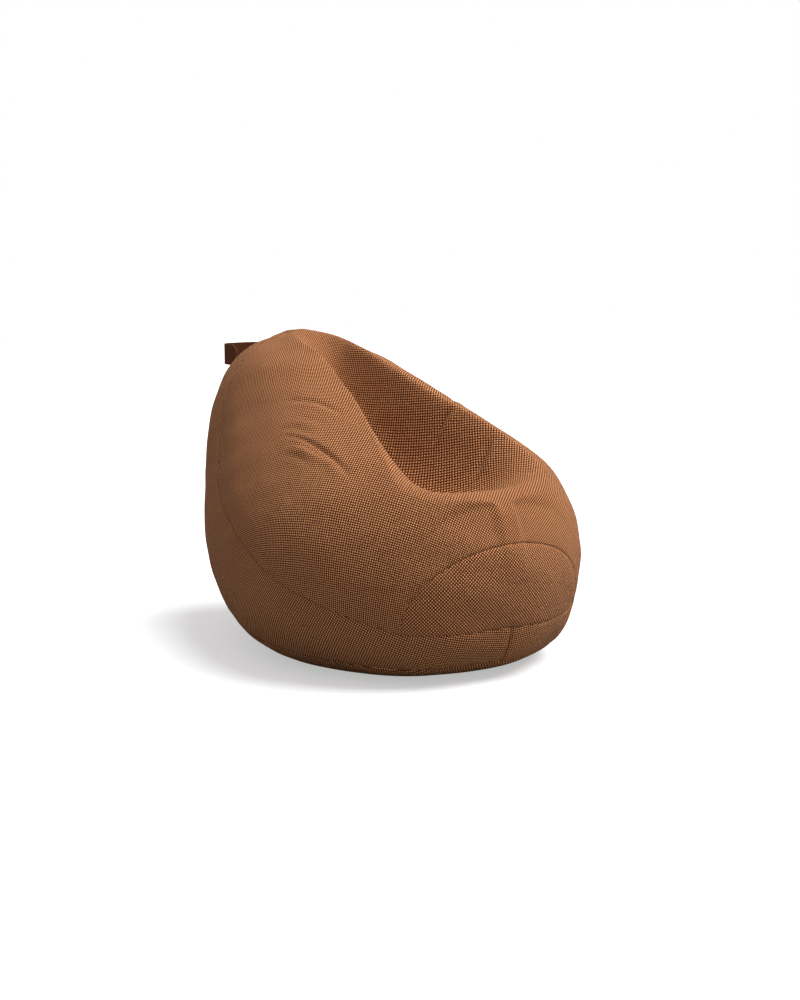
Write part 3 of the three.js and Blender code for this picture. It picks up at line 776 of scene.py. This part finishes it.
def weave_material():
    """Chunky two-tone cloth: tan warp yarns over rust weft yarns, with painted shade in the gaps
    between.
    """
    material, tree, shader = new_material("woven_cover")
    cut = attribute(tree, "cut")
    across, up, _ = split(tree, cut)
    across = calc(tree, "ADD", across, wander(tree, cut, DRIFT_SCALE, 2.0))
    up = calc(tree, "ADD", up, wander(tree, cut, SLIP_SCALE, 1.0))
    height, weft_up = woven(tree, across, up, WARP_PITCH, WEFT_PITCH)
    fibres = noise(tree, cut, FIBRE_SCALE, 3.0)
    patches = noise(tree, cut, PATCH_SCALE, 3.0)
    tan = mix_colour(tree, fibres, TAN_DARK, TAN_LIGHT)
    rust = mix_colour(tree, fibres, RUST_DARK, RUST_LIGHT)
    yarn = mix_colour(tree, weft_up, tan, rust)
    # painted shade: where the weave's height is low, between the yarns, the colour turns to the dark
    # gap colour
    unshaded_share = calc(tree, "SMOOTH_MIN", calc(tree, "MULTIPLY", height, 1.1), 1.0, 0.2)
    colour = mix_colour(tree, unshaded_share, YARN_GAP_SHADE, yarn)
    worn = mix_colour(tree, calc(tree, "MULTIPLY", patches, 0.22), colour, WORN)
    tree.links.new(worn, shader.inputs["Base Color"])
    rough = calc(tree, "ADD", calc(tree, "MULTIPLY", fibres, 0.2), 0.78)
    tree.links.new(rough, shader.inputs["Roughness"])
    shader.inputs["Sheen Weight"].default_value = 0.07
    shader.inputs["Sheen Roughness"].default_value = 0.5
    shader.inputs["Sheen Tint"].default_value = (*SHEEN, 1)
    shader.inputs["Specular IOR Level"].default_value = 0.08
    relief = calc(tree, "ADD", height, calc(tree, "MULTIPLY", fibres, 0.25))
    relief = calc(tree, "ADD", relief, calc(tree, "MULTIPLY", weft_up, -0.25))
    bump(tree, shader, relief, WEAVE_RELIEF)
    return material


def strap_material():
    """The handle's webbing: the cover's yarns, closer and darker."""
    material, tree, shader = new_material("webbing")
    place = object_place(tree)
    x, y, z = split(tree, place)
    height, weft_up = woven(tree, calc(tree, "ADD", x, y), z, WEBBING_PITCH, WEBBING_PITCH)
    fibres = noise(tree, place, 1500, 2.0)
    light = mix_colour(tree, fibres, (0.16, 0.045, 0.016), (0.30, 0.095, 0.036))
    dark = mix_colour(tree, fibres, (0.050, 0.012, 0.004), (0.090, 0.024, 0.009))
    colour = mix_colour(tree, weft_up, light, dark)
    # painted shade: the webbing turns near black in the gaps between its yarns
    shade = mix_colour(tree, height, (0.02, 0.007, 0.004), colour)
    tree.links.new(shade, shader.inputs["Base Color"])
    shader.inputs["Roughness"].default_value = 0.85
    shader.inputs["Specular IOR Level"].default_value = 0.1
    bump(tree, shader, height, WEBBING_RELIEF, 0.7)
    return material


def tape_material(name, dark, light, pitch):
    """A fine flat weave, for the zip's tapes and the label."""
    material, tree, shader = new_material(name)
    place = object_place(tree)
    x, y, z = split(tree, place)
    height, _ = woven(tree, x, calc(tree, "ADD", y, z), pitch, pitch)
    soft = noise(tree, place, 900, 3.0)
    # painted shade: darker between the threads where the weave is low, with random tone from the
    # noise; the dark and light colours are the shaded and lit thread colour
    colour = mix_colour(tree, calc(tree, "MULTIPLY", height, soft), dark, light)
    tree.links.new(colour, shader.inputs["Base Color"])
    shader.inputs["Roughness"].default_value = 0.8
    shader.inputs["Sheen Weight"].default_value = 0.08
    bump(tree, shader, height, TAPE_RELIEF, 0.6)
    return material


def coil_material():
    """Nylon teeth: rounded bars across the zip."""
    material, tree, shader = new_material("zip_teeth")
    place = object_place(tree)
    x, _, _ = split(tree, place)
    teeth = bars(tree, calc(tree, "DIVIDE", x, TOOTH_PITCH))
    # painted shade: dark between the teeth and lighter towards their rounded tops
    colour = mix_colour(tree, teeth, (0.02, 0.009, 0.006), (0.15, 0.075, 0.045))
    tree.links.new(colour, shader.inputs["Base Color"])
    rough = calc(tree, "ADD", calc(tree, "MULTIPLY", noise(tree, place, 800), 0.2), 0.35)
    tree.links.new(rough, shader.inputs["Roughness"])
    bump(tree, shader, teeth, TOOTH_RELIEF)
    return material


def bronze_material():
    """The dull bronze of the zip's slider, pull and stops."""
    material, tree, shader = new_material("zip_metal")
    place = object_place(tree)
    cloudy = noise(tree, place, 260, 4.0)
    colour = mix_colour(tree, cloudy, (0.16, 0.10, 0.06), (0.32, 0.21, 0.13))
    tree.links.new(colour, shader.inputs["Base Color"])
    shader.inputs["Metallic"].default_value = 1
    rough = calc(tree, "ADD", calc(tree, "MULTIPLY", noise(tree, place, 900), 0.25), 0.25)
    tree.links.new(rough, shader.inputs["Roughness"])
    bump(tree, shader, cloudy, METAL_RELIEF, 0.4)
    return material


FLOOR_GLOW = 0.46               # the floor's own light, as the camera sees it


def floor_material():
    """A pale floor that throws less light up at the bag than it shows the camera."""
    material, tree, shader = new_material("studio_floor")
    place = object_place(tree)
    seen = tree.nodes.new("ShaderNodeLightPath").outputs["Is Camera Ray"]
    pale = mix_colour(tree, noise(tree, place, 3.0), (0.60, 0.60, 0.60), (0.62, 0.62, 0.62))
    colour = mix_colour(tree, seen, (0.30, 0.30, 0.30), pale)
    tree.links.new(colour, shader.inputs["Base Color"])
    shader.inputs["Emission Color"].default_value = (1, 1, 1, 1)
    tree.links.new(calc(tree, "MULTIPLY", seen, FLOOR_GLOW), shader.inputs["Emission Strength"])
    shader.inputs["Roughness"].default_value = 0.9
    shader.inputs["Specular IOR Level"].default_value = 0.1
    return material


def paint(node, material):
    """Gives all of a CAD node's material slots a better material."""
    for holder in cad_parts[node].material_slots:
        holder.material = material


# ---------- the cover ----------

ZIP_OPENING = 16 * MM
ZIP_REACH = 80 * MM             # past this the slot doesn't move the cloth
ZIP_DRAW = 26 * MM              # how far from the seam the cloth is drawn back
SLIDER_ROOM = 14 * MM           # past the last tooth, for the slider at its stops
SLOT_END = 16 * MM              # over which the slot closes at each end

# Each panel's name, the way its cut's second coordinate runs, and the nodes it stands in for.
PANELS = [
    ("main", (0, 0.35, 1), ["cover_main_panel", "lining_main_panel", "bead_fill"]),
    ("front", (0, 0, 1), ["cover_front_panel", "lining_front_panel"]),
    ("band_left", (0, 0, 1), ["cover_band_left", "lining_band_left"]),
    ("band_right", (0, 0, 1), ["cover_band_right", "lining_band_right"]),
    ("base", (0, 1, 0), ["cover_base_panel", "lining_base_panel"]),
]
AT_THE_ZIP = {"band_left": 1, "band_right": 1, "base": -1}    # drawn up from it, or down


def open_slot(points, normals, side, seam):
    """Draws the cloth up (side 1) or down (side -1) from the base seam where the zip shows."""
    distance, _ = seam.nearest(points, ZIP_REACH)
    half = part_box("zip_teeth_upper")[1][0] + SLIDER_ROOM
    window = np.clip((half + SLOT_END - np.abs(points[:, 0])) / SLOT_END, 0, 1)
    shift = ZIP_OPENING / 2 * window * (points[:, 1] > 0) * bell(distance, ZIP_DRAW)
    rise = unit(np.array([0, 0, 1]) - normals * normals[:, 2:] + 1e-9)
    return points + rise * (side * shift)[:, None]


def build_cover():
    weave = weave_material()
    directions, triangles, panel = cut_form()
    points = cover_points(directions, triangles)
    normals = outward_normals(points, triangles)
    seams = both_sides(base_line())
    for name, up, nodes in PANELS:
        ids, index = np.unique(triangles[panel == name], return_inverse=True)
        local, faces = points[ids], index.reshape(-1, 3)
        if name == "base":
            flat = local[:, :2] * (-1, 1)
        else:
            flat = flatten(local, faces, np.array(up, float))
        if name in AT_THE_ZIP:
            for seam in seams:
                near = (local[:, 0] > 0) == (seam.points[:, 0].mean() > 0)
                local[near] = open_slot(local[near], normals[ids][near], AT_THE_ZIP[name], seam)
        piece = panel_piece("panel_" + name, local, faces, flat, weave)
        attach(piece, "bag")
        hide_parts(*nodes)


# ---------- studio ----------

VIEW_AZIMUTH = math.radians(-35.5)
VIEW_ELEVATION = math.radians(9.1)
VIEW_DISTANCE = 4.0
VIEW_LENS = 58.75
AIM_HEIGHT = 0.36
AIM_RIGHT, AIM_UP = 0.0056, 0.0043      # across the view, from the point at that height
AMBIENT = 0.42                  # the room's light on the bag; the camera sees it as white
KEY = 5.6
FILL = 0.15
FLOOR_HALF = 12.0               # half the floor's width


def away(azimuth, elevation):
    """The direction from the object to a camera or light there."""
    level = math.cos(elevation)
    return Vector((math.sin(azimuth) * level, -math.cos(azimuth) * level, math.sin(elevation)))


def add_camera():
    camera = bpy.data.objects.new("camera", bpy.data.cameras.new("camera"))
    bpy.context.scene.collection.objects.link(camera)
    camera.data.lens = VIEW_LENS
    backward = away(VIEW_AZIMUTH, VIEW_ELEVATION)
    right = Vector((0, 0, 1)).cross(backward).normalized()
    up = backward.cross(right)
    aim = Vector((0, 0, AIM_HEIGHT)) + right * AIM_RIGHT + up * AIM_UP
    camera.location = aim + backward * VIEW_DISTANCE
    camera.rotation_euler = backward.to_track_quat("Z", "Y").to_euler()
    bpy.context.scene.camera = camera


def add_sun(name, *, azimuth, elevation, strength, softness):
    """A white sun. Its place and its softness, the width of its disc, are in degrees."""
    sun = bpy.data.objects.new(name, bpy.data.lights.new(name, "SUN"))
    bpy.context.scene.collection.objects.link(sun)
    sun.data.energy = strength
    sun.data.angle = math.radians(softness)
    backward = away(math.radians(azimuth), math.radians(elevation))
    sun.rotation_euler = backward.to_track_quat("Z", "Y").to_euler()


def add_studio():
    """A white room with a big soft key light, a faint fill and a pale floor."""
    world = bpy.data.worlds.new("studio")
    bpy.context.scene.world = world
    world.use_nodes = True
    tree = world.node_tree
    background = tree.nodes["Background"]
    background.inputs["Color"].default_value = (1, 1, 1, 1)
    seen = tree.nodes.new("ShaderNodeLightPath").outputs["Is Camera Ray"]
    tree.links.new(calc(tree, "MAXIMUM", seen, AMBIENT), background.inputs["Strength"])
    add_sun("key", azimuth=64, elevation=60, strength=KEY, softness=50)
    add_sun("fill", azimuth=-60, elevation=40, strength=FILL, softness=60)
    corners = [(x * FLOOR_HALF, y * FLOOR_HALF, 0) for x, y in ((-1, -1), (1, -1), (1, 1), (-1, 1))]
    floor = make_mesh("studio_floor", corners, [(0, 1, 2, 3)], floor_material())
    bpy.context.scene.view_settings.view_transform = "Standard"


def finish_frame_nodes():
    """The handle, the zip and the label keep their CAD shapes and get their materials here."""
    webbing = strap_material()
    for node in ("handle_strap", "handle_patch_left", "handle_patch_right"):
        paint(node, webbing)
    tape = tape_material("zip_tape", (0.03, 0.012, 0.008), (0.09, 0.042, 0.026), TAPE_PITCH)
    for node in ("zip_tape_upper", "zip_tape_lower"):
        paint(node, tape)
    teeth = coil_material()
    for node in ("zip_teeth_upper", "zip_teeth_lower"):
        paint(node, teeth)
    bronze = bronze_material()
    for node in ("zip_stop_closed_end", "zip_stop_open_end", "zip_slider", "zip_pull"):
        paint(node, bronze)
    label = tape_material("label", (0.55, 0.53, 0.50), (0.82, 0.80, 0.76), LABEL_PITCH)
    paint("care_label", label)


add_camera()
add_studio()
build_cover()
finish_frame_nodes()
